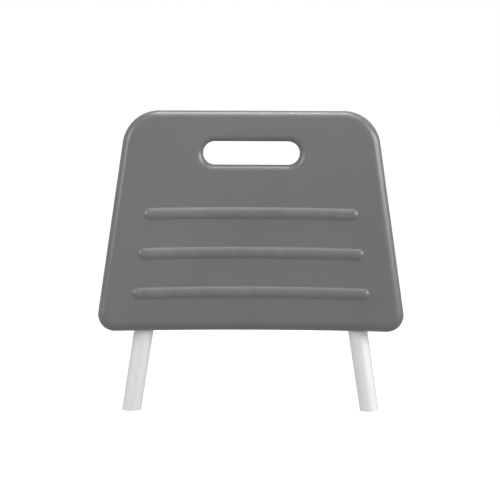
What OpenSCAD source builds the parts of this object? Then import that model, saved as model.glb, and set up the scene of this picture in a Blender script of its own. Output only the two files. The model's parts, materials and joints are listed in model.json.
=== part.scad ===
// Clip-on backrest of a bath transfer bench: a hollow blow-moulded panel on two
// splayed aluminium posts, each with a spring-loaded button that locks it to the bench.
//
// Frame: X runs across the panel, +Y is the rear, +Z is up. The origin is midway
// between the lower ends of the two posts. "left" is the -X side.

/* [Panel] */
// Width of the top edge, to the sharp corners of its outline
panel_top_w = 317; // [300:1:330]
// Width of the bottom edge, to the sharp corners of its outline
panel_bottom_w = 399; // [385:1:410]
// Height from the bottom edge to the top edge
panel_h = 283; // [270:1:300]
// Height of the bottom edge above the lower ends of the posts
panel_bottom_z = 106; // [90:1:120]
// Thickness through both skins
panel_t = 22; // [20:0.5:25]
// Radius of the front face, which curves around the sitter's back
panel_bend_r = 900; // [800:10:1400]
// Distance of the middle of the front face ahead of the post axes
panel_front_y = 18; // [17:0.5:19]
// Corner radius at the top
top_corner_r = 47; // [30:1:60]
// Corner radius at the bottom
bottom_corner_r = 22; // [15:1:30]
// Thickness of the moulded skin
skin_t = 3; // [2:0.25:3.5]

/* [Hand slot] */
// Length of the slot
slot_w = 124; // [100:1:130]
// Height of the slot
slot_h = 30; // [25:1:34]
// Height of the slot's middle above the panel's bottom edge
slot_rise = 229; // [222:1:235]

/* [Ribs] */
// Number of raised ribs on the front
rib_count = 3; // [1:1:3]
// Height of the lowest rib above the panel's bottom edge
rib_first_rise = 50.5; // [45:0.5:60]
// Spacing of the ribs
rib_pitch = 51; // [45:1:54]
// Gap from a rib's end to the panel's side
rib_end_gap = 41; // [35:1:60]
// Radius of a rib's round section
rib_r = 10.5; // [8:0.5:12]
// How far a rib stands out of the front face
rib_out = 3; // [2:0.5:4]

/* [Tie recesses] */
// Length of each recess that ties the rear skin to the front skin
tie_w = 92; // [60:1:110]
// Height of each tie recess
tie_h = 15; // [12:1:18]
// Depth of each tie recess from the rear face
tie_depth = 15; // [10:0.5:16]

/* [Posts] */
// Outer diameter of the posts
tube_d = 25.4; // [25.4:0.1:25.4]
// Wall of the posts
tube_wall = 1.5; // [1.2:0.1:2]
// Length of a post along its axis
post_len = 300; // [285:1:304]
// Distance between the lower ends of the two post axes
post_spread = 310; // [300:1:320]
// Lean of each post towards the other, from the vertical
post_lean = 8.75; // [7:0.25:9]
// Outer diameter of the sized lower end, which enters the bench's socket
sized_d = 25; // [24.8:0.1:25]
// Length of the sized lower end
sized_len = 25; // [20:1:28]

/* [Fasteners] */
// Height of the lower bolts above the panel's bottom edge
lower_bolt_rise = 45; // [40:1:60]
// Height of the upper bolts above the panel's bottom edge
upper_bolt_rise = 150; // [120:1:160]
// Thread diameter of the bolts
bolt_d = 6; // [6:1:6]
// Length of a bolt under its head
bolt_len = 35; // [34.5:0.5:35]
// Outer diameter of the threaded inserts
insert_d = 9; // [8.5:0.5:10]
// Outer diameter of the saddle washers
saddle_d = 18; // [16:1:20]

/* [Lock buttons] */
// Diameter of the button
button_d = 8; // [7.5:0.5:8]
// How far the button stands out of the post, which is also its travel
button_out = 6; // [4:0.5:6]
// Distance of the button from the post's lower end, along the post
button_rise = 42; // [40:1:48]
// Width of the leaf spring's strip
leaf_w = 8; // [7:0.5:8]

/* [Hidden] */

$fn = 96;
LEFT = -1;
RIGHT = 1;
LOWER = 0;
UPPER = 1;

// Panel outline
panel_top_z = panel_bottom_z + panel_h;
side_slope = atan((panel_bottom_w - panel_top_w) / 2 / panel_h);
corner_steps = 14;
bend_half_angle = 14;
slot_z = panel_bottom_z + slot_rise;

// Depths ahead of and behind the whole panel, which its cuts run between
clear_front_y = -60;
clear_rear_y = 20;

// Ribs: a rib's end is this much rounder than its bar, so that the two surfaces cross cleanly
rib_end_swell = 0.3;
rib_half_arc = acos(1 - rib_out / rib_r);
rib_half_w = rib_r * sin(rib_half_arc);
rib_steps = 10;
rib_root = 1;

// Posts and their channels in the panel
tube_r = tube_d / 2;
bore_r = tube_r - tube_wall;
channel_play = 0.2;
channel_r = tube_r + channel_play;
channel_end_gap = 0.5;
cap_head_t = 2.5;
cap_stem_len = 12;
cap_stem_play = 0.1;

// How far a cutting shape reaches past what it cuts
cut_reach = 5;

// Fasteners: positions along Y, counted from the post's axis
thread_gap = 0.05;
bolt_rises = [lower_bolt_rise, upper_bolt_rise];
bolt_hole_play = 0.3;
bolt_hole_r = bolt_d / 2 + bolt_hole_play;
saddle_gap = 0.05;
saddle_crown = 1.8;
saddle_top_y = tube_r + saddle_crown;
saddle_skirt_y = 6;
bolt_head_r = 5.25;
bolt_head_h = 3.3;
hex_key_w = 4;
hex_key_r = hex_key_w / 2 / cos(30);
hex_key_depth = 2.2;
insert_sink = 0.1;
insert_top_y = -channel_r - insert_sink;
insert_len = 8.2;
boss_wall = 4.5;
boss_r = insert_d / 2 + boss_wall;

// Lock buttons and their leaf springs, in the post's own frame
button_r = button_d / 2;
button_top_y = tube_r + button_out;
button_hole_r = button_r + 0.6;
flange_r = 5.4;
flange_top_y = 9.5;
flange_t = 0.8;
leaf_t = 0.8;
leaf_y = 7.9;
leaf_gap = 0.4;
rivet_r = 1.4;
rivet_head_r = 2.4;
rivet_head_t = 0.8;
rivet_hole_r = rivet_r + 0.5;
leaf_bend_r = 3;
leaf_bend_z = button_rise + 42;
leaf_end_z = button_rise - 7;
leaf_shoulder_z = button_rise + 7;
leaf_back_y = -9.9;

// Half the panel's width at height z, along its straight sides
function side_x(z) = panel_top_w / 2 + (panel_top_z - z) * tan(side_slope);

// Centre of a corner arc of radius r, tangent to a side, at height z
function corner_centre(r, z) = [side_x(z) - r / cos(side_slope), z];

function arc_points(c, r, from, to, steps = corner_steps) =
    [for (i = [0:steps]) c + r * [cos(from + (to - from) * i / steps), sin(from + (to - from) * i / steps)]];

function mirrored(points) = [for (i = [len(points) - 1:-1:0]) [-points[i][0], points[i][1]]];

// A strip of thickness t along a centre line
function heading(p, i) =
    let (a = p[max(i - 1, 0)], b = p[min(i + 1, len(p) - 1)]) (b - a) / norm(b - a);
function strip_side(p, offset) =
    [for (i = [0:len(p) - 1]) p[i] + offset * [-heading(p, i)[1], heading(p, i)[0]]];
function strip(p, t) =
    let (near = strip_side(p, -t / 2), far = strip_side(p, t / 2))
    concat(near, [for (i = [len(far) - 1:-1:0]) far[i]]);

// Places a child, modelled along +Z from the origin, along one post
module on_post(side) {
    translate([side * post_spread / 2, 0, 0]) rotate([0, -side * post_lean, 0]) children();
}

// Distance along a post of a point at height z
function along_post(z) = z / cos(post_lean);

// Places a child, modelled along +Y, on the axis of one bolt
module on_bolt(side, level) {
    on_post(side) translate([0, 0, along_post(panel_bottom_z + bolt_rises[level])]) children();
}

// A cylinder along +Y that starts at y
module y_cylinder(r, y, h) {
    translate([0, y, 0]) rotate([-90, 0, 0]) cylinder(r = r, h = h);
}

// An outline in X and Z, extruded from one depth to another, or through the whole panel
module through_panel(front = clear_front_y, rear = clear_rear_y) {
    translate([0, rear, 0]) rotate([90, 0, 0]) linear_extrude(height = rear - front) children();
}

module panel_outline(inset) {
    top = corner_centre(top_corner_r, panel_top_z - top_corner_r);
    bottom = corner_centre(bottom_corner_r, panel_bottom_z + bottom_corner_r);
    right_half = concat(
        arc_points(bottom, bottom_corner_r - inset, -90, side_slope),
        arc_points(top, top_corner_r - inset, side_slope, 90)
    );
    polygon(concat(right_half, mirrored(right_half)));
}

module stadium(w, h, grow = 0) {
    square([w - h, h + 2 * grow], center = true);
    for (x = [-1, 1]) translate([x * (w - h) / 2, 0]) circle(r = h / 2 + grow);
}

// Turns a profile, drawn as distance behind the front face and height, around the sitter
module bent(half_angle = bend_half_angle) {
    translate([0, -panel_front_y - panel_bend_r, 0])
        rotate([0, 0, 90 - half_angle])
            rotate_extrude(angle = 2 * half_angle, $fn = 256)
                translate([panel_bend_r, 0]) children();
}

module panel_blank(inset) {
    intersection() {
        bent() translate([inset, 0]) square([panel_t - 2 * inset, panel_top_z + cut_reach]);
        through_panel() panel_outline(inset);
    }
}

// A rib's round section, rooted in the skin behind it, with its ends rounded in the front view
module rib(z) {
    rib_len = 2 * (side_x(z) - rib_end_gap);
    crest = arc_points([rib_r - rib_out, z], rib_r, 180 - rib_half_arc, 180 + rib_half_arc, rib_steps);
    root = [for (side = [1, -1]) [rib_root, z - side * rib_half_w]];
    intersection() {
        bent() polygon(concat(crest, root));
        through_panel() translate([0, z]) stadium(rib_len, 2 * rib_half_w + rib_end_swell);
    }
}

module hand_slot(grow = 0) {
    through_panel() translate([0, slot_z]) stadium(slot_w, slot_h, grow);
}

module post_channels(grow = 0) {
    for (side = [LEFT, RIGHT])
        on_post(side) cylinder(r = channel_r + grow, h = post_len + cap_head_t + channel_end_gap + grow);
}

module tie_recesses(grow = 0) {
    rear_y = panel_t - panel_front_y;
    for (i = [0:rib_count - 1])
        translate([0, 0, panel_bottom_z + rib_first_rise + i * rib_pitch])
            through_panel(front = rear_y - tie_depth - grow) stadium(tie_w, tie_h, grow);
}

module panel_cavity() {
    difference() {
        panel_blank(skin_t);
        hand_slot(skin_t);
        post_channels(skin_t);
        tie_recesses(skin_t);
        for (side = [LEFT, RIGHT], level = [LOWER, UPPER])
            on_bolt(side, level) y_cylinder(boss_r, clear_front_y, -clear_front_y);
    }
}

module back_panel() {
    color([0.45, 0.44, 0.45])
    difference() {
        union() {
            panel_blank(0);
            for (i = [0:rib_count - 1]) rib(panel_bottom_z + rib_first_rise + i * rib_pitch);
        }
        panel_cavity();
        hand_slot();
        post_channels();
        tie_recesses();
        for (side = [LEFT, RIGHT], level = [LOWER, UPPER])
            on_bolt(side, level) y_cylinder(insert_d / 2, insert_top_y - insert_len, insert_len + cut_reach);
    }
}

module post(side) {
    color([0.82, 0.82, 0.84])
    difference() {
        on_post(side) {
            translate([0, 0, -cut_reach]) cylinder(d = sized_d, h = sized_len + cut_reach);
            translate([0, 0, sized_len]) cylinder(r = tube_r, h = post_len - sized_len);
        }
        on_post(side) {
            translate([0, 0, -2 * cut_reach]) cylinder(r = bore_r, h = post_len + 3 * cut_reach);
            translate([0, 0, button_rise]) y_cylinder(button_hole_r, 0, 2 * tube_r);
        }
        for (level = [LOWER, UPPER]) on_bolt(side, level) y_cylinder(bolt_hole_r, -2 * tube_r, 4 * tube_r);
        // The lower end is cut level, so that it stands flat in the bench's socket
        translate([-post_spread, -tube_d, -3 * cut_reach])
            cube([2 * post_spread, 2 * tube_d, 3 * cut_reach]);
    }
}

module post_cap(side) {
    color([0.16, 0.16, 0.17])
    on_post(side) {
        translate([0, 0, post_len]) cylinder(r = tube_r, h = cap_head_t);
        translate([0, 0, post_len - cap_stem_len]) cylinder(r = bore_r - cap_stem_play, h = cap_stem_len);
    }
}

module insert(side, level) {
    color([0.72, 0.58, 0.3])
    on_bolt(side, level) difference() {
        y_cylinder(insert_d / 2, insert_top_y - insert_len, insert_len);
        translate([0, -cut_reach, 0])
            y_cylinder(bolt_d / 2 + thread_gap, insert_top_y - insert_len, insert_len + 2 * cut_reach);
    }
}

module saddle(side, level) {
    color([0.3, 0.3, 0.31])
    difference() {
        on_bolt(side, level) difference() {
            y_cylinder(saddle_d / 2, saddle_skirt_y, saddle_top_y - saddle_skirt_y);
            y_cylinder(bolt_hole_r, 0, 2 * saddle_top_y);
        }
        on_post(side) cylinder(r = tube_r + saddle_gap, h = post_len);
    }
}

module bolt(side, level) {
    color([0.75, 0.75, 0.77])
    on_bolt(side, level) difference() {
        union() {
            y_cylinder(bolt_d / 2, saddle_top_y - bolt_len, bolt_len);
            y_cylinder(bolt_head_r, saddle_top_y, bolt_head_h);
        }
        translate([0, saddle_top_y + bolt_head_h - hex_key_depth, 0])
            rotate([-90, 0, 0]) cylinder(r = hex_key_r, h = hex_key_depth + cut_reach, $fn = 6);
    }
}

module button_spring(side) {
    bend = [leaf_bend_z, leaf_back_y + leaf_bend_r];
    centre_line = concat(
        [[leaf_end_z, leaf_back_y]],
        arc_points(bend, leaf_bend_r, -90, 70, 8),
        [[leaf_shoulder_z, leaf_y], [leaf_end_z, leaf_y]]
    );
    color([0.6, 0.61, 0.63])
    on_post(side) difference() {
        rotate([0, -90, 0])
            linear_extrude(height = leaf_w, center = true) polygon(strip(centre_line, leaf_t));
        translate([0, 0, button_rise]) y_cylinder(rivet_hole_r, 0, tube_r);
    }
}

// Half of the button's section, drawn as radius and height along its travel
module button_section() {
    dome_h = button_r / 2;
    dome_r = (button_r * button_r + dome_h * dome_h) / (2 * dome_h);
    inner_y = leaf_y - leaf_t / 2 - leaf_gap;
    intersection() {
        translate([0, button_top_y - dome_r]) circle(r = dome_r);
        translate([0, flange_top_y - flange_t]) square([button_r, button_top_y]);
    }
    translate([0, flange_top_y - flange_t]) square([flange_r, flange_t]);
    translate([0, inner_y - rivet_head_t]) square([rivet_head_r, rivet_head_t]);
    translate([0, inner_y - rivet_head_t]) square([rivet_r, flange_top_y - inner_y + rivet_head_t]);
}

module lock_button(side) {
    color([0.78, 0.78, 0.8])
    on_post(side) translate([0, 0, button_rise]) rotate([-90, 0, 0]) rotate_extrude() button_section();
}

back_panel();
post(LEFT);  // left_post
post(RIGHT);  // right_post
post_cap(LEFT);  // left_post_cap
post_cap(RIGHT);  // right_post_cap
insert(LEFT, LOWER);  // left_lower_insert
insert(LEFT, UPPER);  // left_upper_insert
insert(RIGHT, LOWER);  // right_lower_insert
insert(RIGHT, UPPER);  // right_upper_insert
saddle(LEFT, LOWER);  // left_lower_saddle
saddle(LEFT, UPPER);  // left_upper_saddle
saddle(RIGHT, LOWER);  // right_lower_saddle
saddle(RIGHT, UPPER);  // right_upper_saddle
bolt(LEFT, LOWER);  // left_lower_bolt
bolt(LEFT, UPPER);  // left_upper_bolt
bolt(RIGHT, LOWER);  // right_lower_bolt
bolt(RIGHT, UPPER);  // right_upper_bolt
button_spring(LEFT);  // left_button_spring
button_spring(RIGHT);  // right_button_spring
lock_button(LEFT);  // left_lock_button
lock_button(RIGHT);  // right_lock_button
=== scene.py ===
"""Looks of a bath transfer bench's clip-on backrest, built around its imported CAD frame.

Everything is in metres in the row frame: +X across the panel, +Y to the rear, +Z up, with the
origin midway between the lower ends of the two posts.
"""

import json
import math

import bmesh
import bpy
import numpy as np
from bpy.props import FloatProperty, FloatVectorProperty, IntProperty, PointerProperty
from mathutils import Euler, Matrix, Vector
from mathutils.geometry import delaunay_2d_cdt


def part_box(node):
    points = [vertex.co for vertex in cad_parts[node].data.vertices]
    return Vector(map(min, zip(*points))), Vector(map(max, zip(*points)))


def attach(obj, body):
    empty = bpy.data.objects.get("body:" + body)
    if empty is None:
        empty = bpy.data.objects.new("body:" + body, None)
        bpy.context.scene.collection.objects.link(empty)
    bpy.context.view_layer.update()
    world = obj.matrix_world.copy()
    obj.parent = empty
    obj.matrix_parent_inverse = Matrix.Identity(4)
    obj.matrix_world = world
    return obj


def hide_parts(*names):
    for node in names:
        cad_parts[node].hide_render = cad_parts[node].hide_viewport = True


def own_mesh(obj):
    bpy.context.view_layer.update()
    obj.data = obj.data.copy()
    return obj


bl_info = {
    "name": "Bath bench backrest",
    "version": (1, 0, 0),
    "blender": (4, 5, 0),
    "location": "3D View > Sidebar > Backrest",
    "description": "Builds the panel, posts and fittings of a bath bench backrest",
    "category": "Object",
}

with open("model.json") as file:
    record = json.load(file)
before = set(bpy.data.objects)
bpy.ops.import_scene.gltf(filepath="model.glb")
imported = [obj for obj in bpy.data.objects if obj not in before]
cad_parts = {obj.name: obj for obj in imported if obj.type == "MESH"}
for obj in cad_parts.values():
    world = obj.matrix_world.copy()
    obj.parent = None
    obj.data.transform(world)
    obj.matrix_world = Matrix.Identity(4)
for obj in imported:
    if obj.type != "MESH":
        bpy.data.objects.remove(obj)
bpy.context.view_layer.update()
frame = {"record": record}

MM = 0.001
SIDES = ("left", "right")
LEVELS = ("lower", "upper")
BOLTS = [(side, level) for side in SIDES for level in LEVELS]
RING = 72  # points round a turned piece
GRID = 0.005  # spacing of the points over the plain parts of the panel's faces
GRID_HALF = 0.195  # how far the grid reaches to each side
UV_SCALE = 10  # UV units in a metre
WHITE = (1, 1, 1, 1)


# ---------------------------------------------------------------- settings

def plain(name, description, default, **kind):
    return FloatProperty(name=name, description=description, default=default, **kind)


def length(name, description, default):
    return plain(name, description, default, unit="LENGTH", precision=4)


def angle(name, description, default):
    return plain(name, description, math.radians(default), subtype="ANGLE")


def colour(name, description, default):
    return FloatVectorProperty(
        name=name, description=description, default=default, subtype="COLOR", size=3, min=0, max=1
    )


class PanelSettings(bpy.types.PropertyGroup):
    """Sizes and colours of the moulded panel"""

    top_width: length("Top width", "Width of the top edge, to its sharp corners", 0.317)
    bottom_width: length("Bottom width", "Width of the bottom edge, to its sharp corners", 0.399)
    top_corner: length("Top corner", "Corner radius at the top", 0.047)
    bottom_corner: length("Bottom corner", "Corner radius at the bottom", 0.022)
    thickness: length("Thickness", "Thickness through both skins", 0.022)
    bend: length("Bend", "Radius of the front face", 0.900)
    front_offset: length("Front offset", "Middle of the front face ahead of the post axes", 0.018)
    rim: length("Front rim", "Radius that the rim is rounded to in front", 0.0132)
    top_rim_share: plain("Top rim", "Size of the top edge's rounding, as a share of the sides'", 0.7)
    rear_rim: length("Rear rim", "Radius that the rim is rounded to behind", 0.0076)
    flash: length("Parting line", "Height of the parting line left by the mould", 0.0002)
    slot_width: length("Slot width", "Length of the hand slot", 0.124)
    slot_height: length("Slot height", "Height of the hand slot", 0.030)
    slot_rise: length("Slot rise", "Middle of the slot above the bottom edge", 0.229)
    slot_lip: length("Front slot lip", "Radius that the slot's edge is rounded to in front", 0.0085)
    rear_slot_lip: length("Rear slot lip", "Radius that the slot's edge is rounded to behind", 0.006)
    rib_height: length("Rib height", "How far a rib stands out", 0.003)
    rib_radius: length("Rib radius", "Radius of a rib's round section", 0.0105)
    rib_fillet: length("Rib fillet", "Height over which a rib runs out into the face", 0.0009)
    rib_first: length("First rib", "Lowest rib above the bottom edge", 0.0505)
    rib_pitch: length("Rib pitch", "Spacing of the ribs", 0.051)
    rib_gap: length("Rib gap", "Gap between a rib's end and the panel's side", 0.041)
    rib_arch: length("Rib arch", "How far the middle of a rib lies above its ends", 0.0012)
    tie_width: length("Tie width", "Length of a recess that ties the two skins", 0.092)
    tie_height: length("Tie height", "Height of a tie recess", 0.015)
    tie_depth: length("Tie depth", "Depth of a tie recess", 0.015)
    tie_draft: length("Tie draft", "Width of a tie recess's sloping wall", 0.004)
    channel_gap: length("Channel gap", "Play between a post and its channel", 0.0002)
    channel_end_gap: length("Channel end gap", "Gap between a post's cap and its channel's end", 0.0005)
    channel_lip: length("Channel lip", "Rounding where a channel meets the rear face", 0.0016)
    pocket_play: length("Pocket play", "Gap between an insert and the floor of its pocket", 0.0002)
    skin: colour("Skin", "Colour of the grey polyethylene", (0.152, 0.144, 0.149))
    skin_worn: colour("Rubbed skin", "Colour where hands and bolts have rubbed", (0.215, 0.207, 0.212))


class PostSettings(bpy.types.PropertyGroup):
    """Sizes and colours of the two tubes"""

    radius: length("Radius", "Outer radius of a post", 0.0127)
    wall: length("Wall", "Wall of the tube", 0.0015)
    sized_length: length("Sized length", "Length of the thinner lower end", 0.025)
    bolt_hole: length("Bolt hole", "Radius of the bolt holes", 0.0033)
    button_hole: length("Button hole", "Radius of the button's hole", 0.0046)
    metal: colour("Aluminium", "Colour of the anodised tube", (0.88, 0.865, 0.885))


class FittingSettings(bpy.types.PropertyGroup):
    """Sizes and colours of the fasteners, caps, buttons and springs"""

    cap_dome: length("Cap dome", "How far a cap's crown rises above its rim", 0.0008)
    cap_edge: length("Cap edge", "Rounding of a cap's outer edge", 0.0009)
    cap_stem: length("Cap stem", "Length of a cap's stem", 0.012)
    cap_fins: IntProperty(name="Cap fins", description="Fins round a cap's stem", default=4)
    saddle_edge: length("Saddle edge", "Rounding of a saddle washer's outer edge", 0.0009)
    bolt_radius: length("Bolt radius", "Radius of a bolt's shank", 0.003)
    head_radius: length("Head radius", "Radius of a bolt's head", 0.00525)
    head_height: length("Head height", "Height of a bolt's head", 0.0033)
    key_width: length("Key width", "Width across the flats of the key socket", 0.004)
    key_depth: length("Key depth", "Depth of the key socket", 0.0022)
    thread_pitch: length("Thread pitch", "Pitch of the bolt's thread", 0.001)
    thread_length: length("Thread length", "Length of the threaded part", 0.018)
    thread_depth: length("Thread depth", "Depth of the bolt's thread", 0.0005)
    button_radius: length("Button radius", "Radius of a lock button", 0.004)
    flange_radius: length("Flange radius", "Radius of the flange inside the tube", 0.0054)
    leaf_width: length("Leaf width", "Width of the leaf spring's strip", 0.008)
    leaf_thickness: length("Leaf thickness", "Thickness of the leaf spring's strip", 0.0008)
    leaf_bend: length("Leaf bend", "Radius of the leaf spring's fold", 0.003)
    leaf_tail: length("Leaf tail", "Flat length of the strip on each side of the button", 0.007)
    leaf_reach: length("Leaf reach", "Distance of the fold above the button", 0.042)
    cap_plastic: colour("Cap plastic", "Colour of the tube caps", (0.020, 0.020, 0.021))
    saddle_plastic: colour("Saddle plastic", "Colour of the saddle washers", (0.050, 0.050, 0.052))
    steel: colour("Steel", "Colour of the bolts and buttons", (0.60, 0.60, 0.61))
    spring_steel: colour("Spring steel", "Colour of the leaf springs", (0.40, 0.41, 0.43))
    brass: colour("Brass", "Colour of the threaded inserts", (0.60, 0.44, 0.19))


class StageSettings(bpy.types.PropertyGroup):
    """Camera, floor and light"""

    distance: length("Distance", "Camera's distance ahead of the posts", 2.3)
    height: length("Height", "Camera's height above the posts' lower ends", 0.400)
    aside: length("Aside", "Camera's distance to the right of the middle", -0.0014)
    pitch: angle("Pitch", "How far the camera looks down", 4.738)
    roll: angle("Roll", "How far the camera leans to the left", 0.22)
    lens: plain("Lens", "Focal length of the camera, in mm", 128.4, unit="CAMERA")
    key: plain("Key", "Power of the key light", 10.0, unit="POWER")
    fill: plain("Fill", "Power of the fill light", 7.5, unit="POWER")
    top: plain("Top", "Power of the light above the panel", 5.0, unit="POWER")
    floor: colour("Floor", "Colour of the floor", (0.93, 0.93, 0.93))
    floor_glow: plain("Floor glow", "Light that the floor gives off besides what it reflects", 0.8)


def settings():
    return bpy.context.scene.backrest


# ---------------------------------------------------------------- meshes

def new_piece(name, points, faces, material, body="backrest", smooth_angle=40):
    """Makes a closed mesh from points and faces, in the row frame, that rides on a body."""
    mesh = bpy.data.meshes.new(name)
    mesh.from_pydata([tuple(p) for p in points], [], [tuple(int(i) for i in f) for f in faces])
    bm = bmesh.new()
    bm.from_mesh(mesh)
    bmesh.ops.remove_doubles(bm, verts=bm.verts, dist=2e-6)
    bmesh.ops.dissolve_degenerate(bm, dist=1e-7, edges=bm.edges)
    bmesh.ops.recalc_face_normals(bm, faces=bm.faces)
    if bm.calc_volume(signed=True) < 0:
        bmesh.ops.reverse_faces(bm, faces=bm.faces)
    open_edges = sum(1 for e in bm.edges if len(e.link_faces) != 2)
    if open_edges:
        raise RuntimeError(f"{name} has {open_edges} edges that don't join two faces")
    bm.to_mesh(mesh)
    bm.free()
    mesh.shade_smooth()
    mesh.set_sharp_from_angle(angle=math.radians(smooth_angle))
    mesh.materials.append(material)
    piece = bpy.data.objects.new(name, mesh)
    bpy.context.scene.collection.objects.link(piece)
    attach(piece, body)
    return piece


def placed_piece(name, shape, matrix, material, **how):
    """Makes a piece from a shape that was drawn in a frame of its own."""
    return new_piece(name, shape.placed(matrix), shape.faces, material, **how)


def finish_piece(piece, node):
    """Hides the CAD node that a piece stands for."""
    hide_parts(node)


class Shape:
    """Collects points and faces, then hands them over as one mesh."""

    def __init__(self):
        self.points = []
        self.faces = []

    def add(self, points, faces):
        start = len(self.points)
        self.points.extend(np.asarray(points, float).tolist())
        self.faces.extend([[i + start for i in f] for f in faces])

    def rings(self, rings, capped=False, looped=False):
        """Joins rings of equal length with four-sided faces.

        capped closes the first and the last ring, and looped joins the last one to the first.
        """
        n, count = len(rings[0]), len(rings)
        faces = []
        for k in range(count if looped else count - 1):
            here, there = k * n, (k + 1) % count * n
            for i in range(n):
                j = (i + 1) % n
                faces.append([here + i, here + j, there + j, there + i])
        if capped:
            faces += [list(range(n))[::-1], [(count - 1) * n + i for i in range(n)]]
        self.add(np.concatenate(rings), faces)

    def placed(self, matrix):
        return moved(self.points, matrix)


def moved(points, matrix):
    m = np.array(matrix)
    return np.asarray(points) @ m[:3, :3].T + m[:3, 3]


def turn(count=RING):
    return np.linspace(0, 2 * math.pi, count, endpoint=False)


def turned_ring(radius, height):
    """A ring round the Y axis. Its radius and height are numbers, or one value per point."""
    a = turn()
    return np.stack([radius * np.cos(a), height + 0 * a, radius * np.sin(a)], 1)


def turned(profile, looped=False):
    """A piece turned round the Y axis from (radius, height) pairs: a solid, or a ring if looped."""
    shape = Shape()
    shape.rings([turned_ring(r, h) for r, h in profile], capped=not looped, looped=looped)
    return shape


def quarter(centre, radius, start, end, steps=5):
    """Points on an arc in the profile plane, from one angle in degrees to another."""
    a = np.radians(np.linspace(start, end, steps + 1))
    return [(centre[0] + radius * math.cos(t), centre[1] + radius * math.sin(t)) for t in a]


def smoothstep(t):
    t = np.clip(t, 0, 1)
    return t * t * (3 - 2 * t)


def smooth_min(a, b, width):
    """The lower of two heights, rounded where they cross."""
    h = np.clip(0.5 + 0.5 * (b - a) / width, 0, 1)
    return b * (1 - h) + a * h - width * h * (1 - h)


def triangulated(points, loops, inside):
    """Triangles over flat points and closed loops, kept where inside(x, y) is true."""
    flat = [Vector(p) for p in points]
    edges = []
    for loop in loops:
        start = len(flat)
        flat.extend(Vector(p) for p in loop)
        edges.extend((start + i, start + (i + 1) % len(loop)) for i in range(len(loop)))
    verts, _, faces, _, _, _ = delaunay_2d_cdt(flat, edges, [], 0, 1e-7, False)
    xy = np.array([tuple(v) for v in verts])
    tri = np.array([f for f in faces if len(f) == 3])
    middle = xy[tri].mean(1)
    return xy, tri[inside(middle[:, 0], middle[:, 1])]


# ---------------------------------------------------------------- where the frame puts things

def mount(name):
    return next(m for m in frame["record"]["mounts"] if m["name"] == name)


def post_frame(side):
    """Maps a post's own frame, with its axis on +Z and its rear on +Y, to the row frame.

    Its origin is where the axis meets the plane of the posts' lower ends.
    """
    end = mount(f"{side}_post_end")
    up = -Vector(end["axis"]).normalized()
    point = Vector(end["pos_m"])
    origin = point - up * (point.z / up.z)
    rear = Vector((0, 1, 0))
    across = rear.cross(up)
    return Matrix.Translation(origin) @ Matrix((across, rear, up)).transposed().to_4x4()


def middle(node):
    low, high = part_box(node)
    return (low + high) / 2


def along_post(side, node):
    """How far up a post's axis the middle of a node is."""
    return (post_frame(side).inverted() @ middle(node)).z


def on_post(m, x, z):
    """How far to the side of a post's axis, and how far up it, points of the panel are."""
    dx, dz = x - m[0][3], z - m[2][3]
    return np.abs(dx * m[0][0] + dz * m[2][0]), dx * m[0][2] + dz * m[2][2]


def at_height(side, up):
    """A post's frame, moved up its axis."""
    return post_frame(side) @ Matrix.Translation((0, 0, up))


def on_bolt(side, level):
    """The frame of one bolt: its axis on +Y, counted from the post's axis."""
    return at_height(side, along_post(side, f"{side}_{level}_bolt"))


def upper_end(side, node, radius):
    """How far up a post's axis the flat end of a round node of this radius lies."""
    up = post_frame(side).to_3x3() @ Vector((0, 0, 1))
    return (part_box(node)[1].z - radius * abs(up.x)) / up.z


def middle_radius(node, axis=1):
    """Half of a node's size along X, Y or Z."""
    low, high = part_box(node)
    return (high[axis] - low[axis]) / 2


def depths(node):
    """Where a node starts and ends along Y."""
    low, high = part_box(node)
    return low.y, high.y


# ---------------------------------------------------------------- materials

class Graph:
    """A node tree with short calls for adding and linking nodes."""

    def __init__(self, tree):
        self.tree = tree

    def node(self, kind, **values):
        made = self.tree.nodes.new(kind)
        for key, value in values.items():
            setattr(made, key, value)
        return made

    def link(self, source, target):
        self.tree.links.new(source, target)

    def maths(self, operation, a, b):
        made = self.node("ShaderNodeMath", operation=operation)
        for socket, value in zip(made.inputs, (a, b)):
            if isinstance(value, (int, float)):
                socket.default_value = value
            else:
                self.link(value, socket)
        return made.outputs["Value"]


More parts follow.
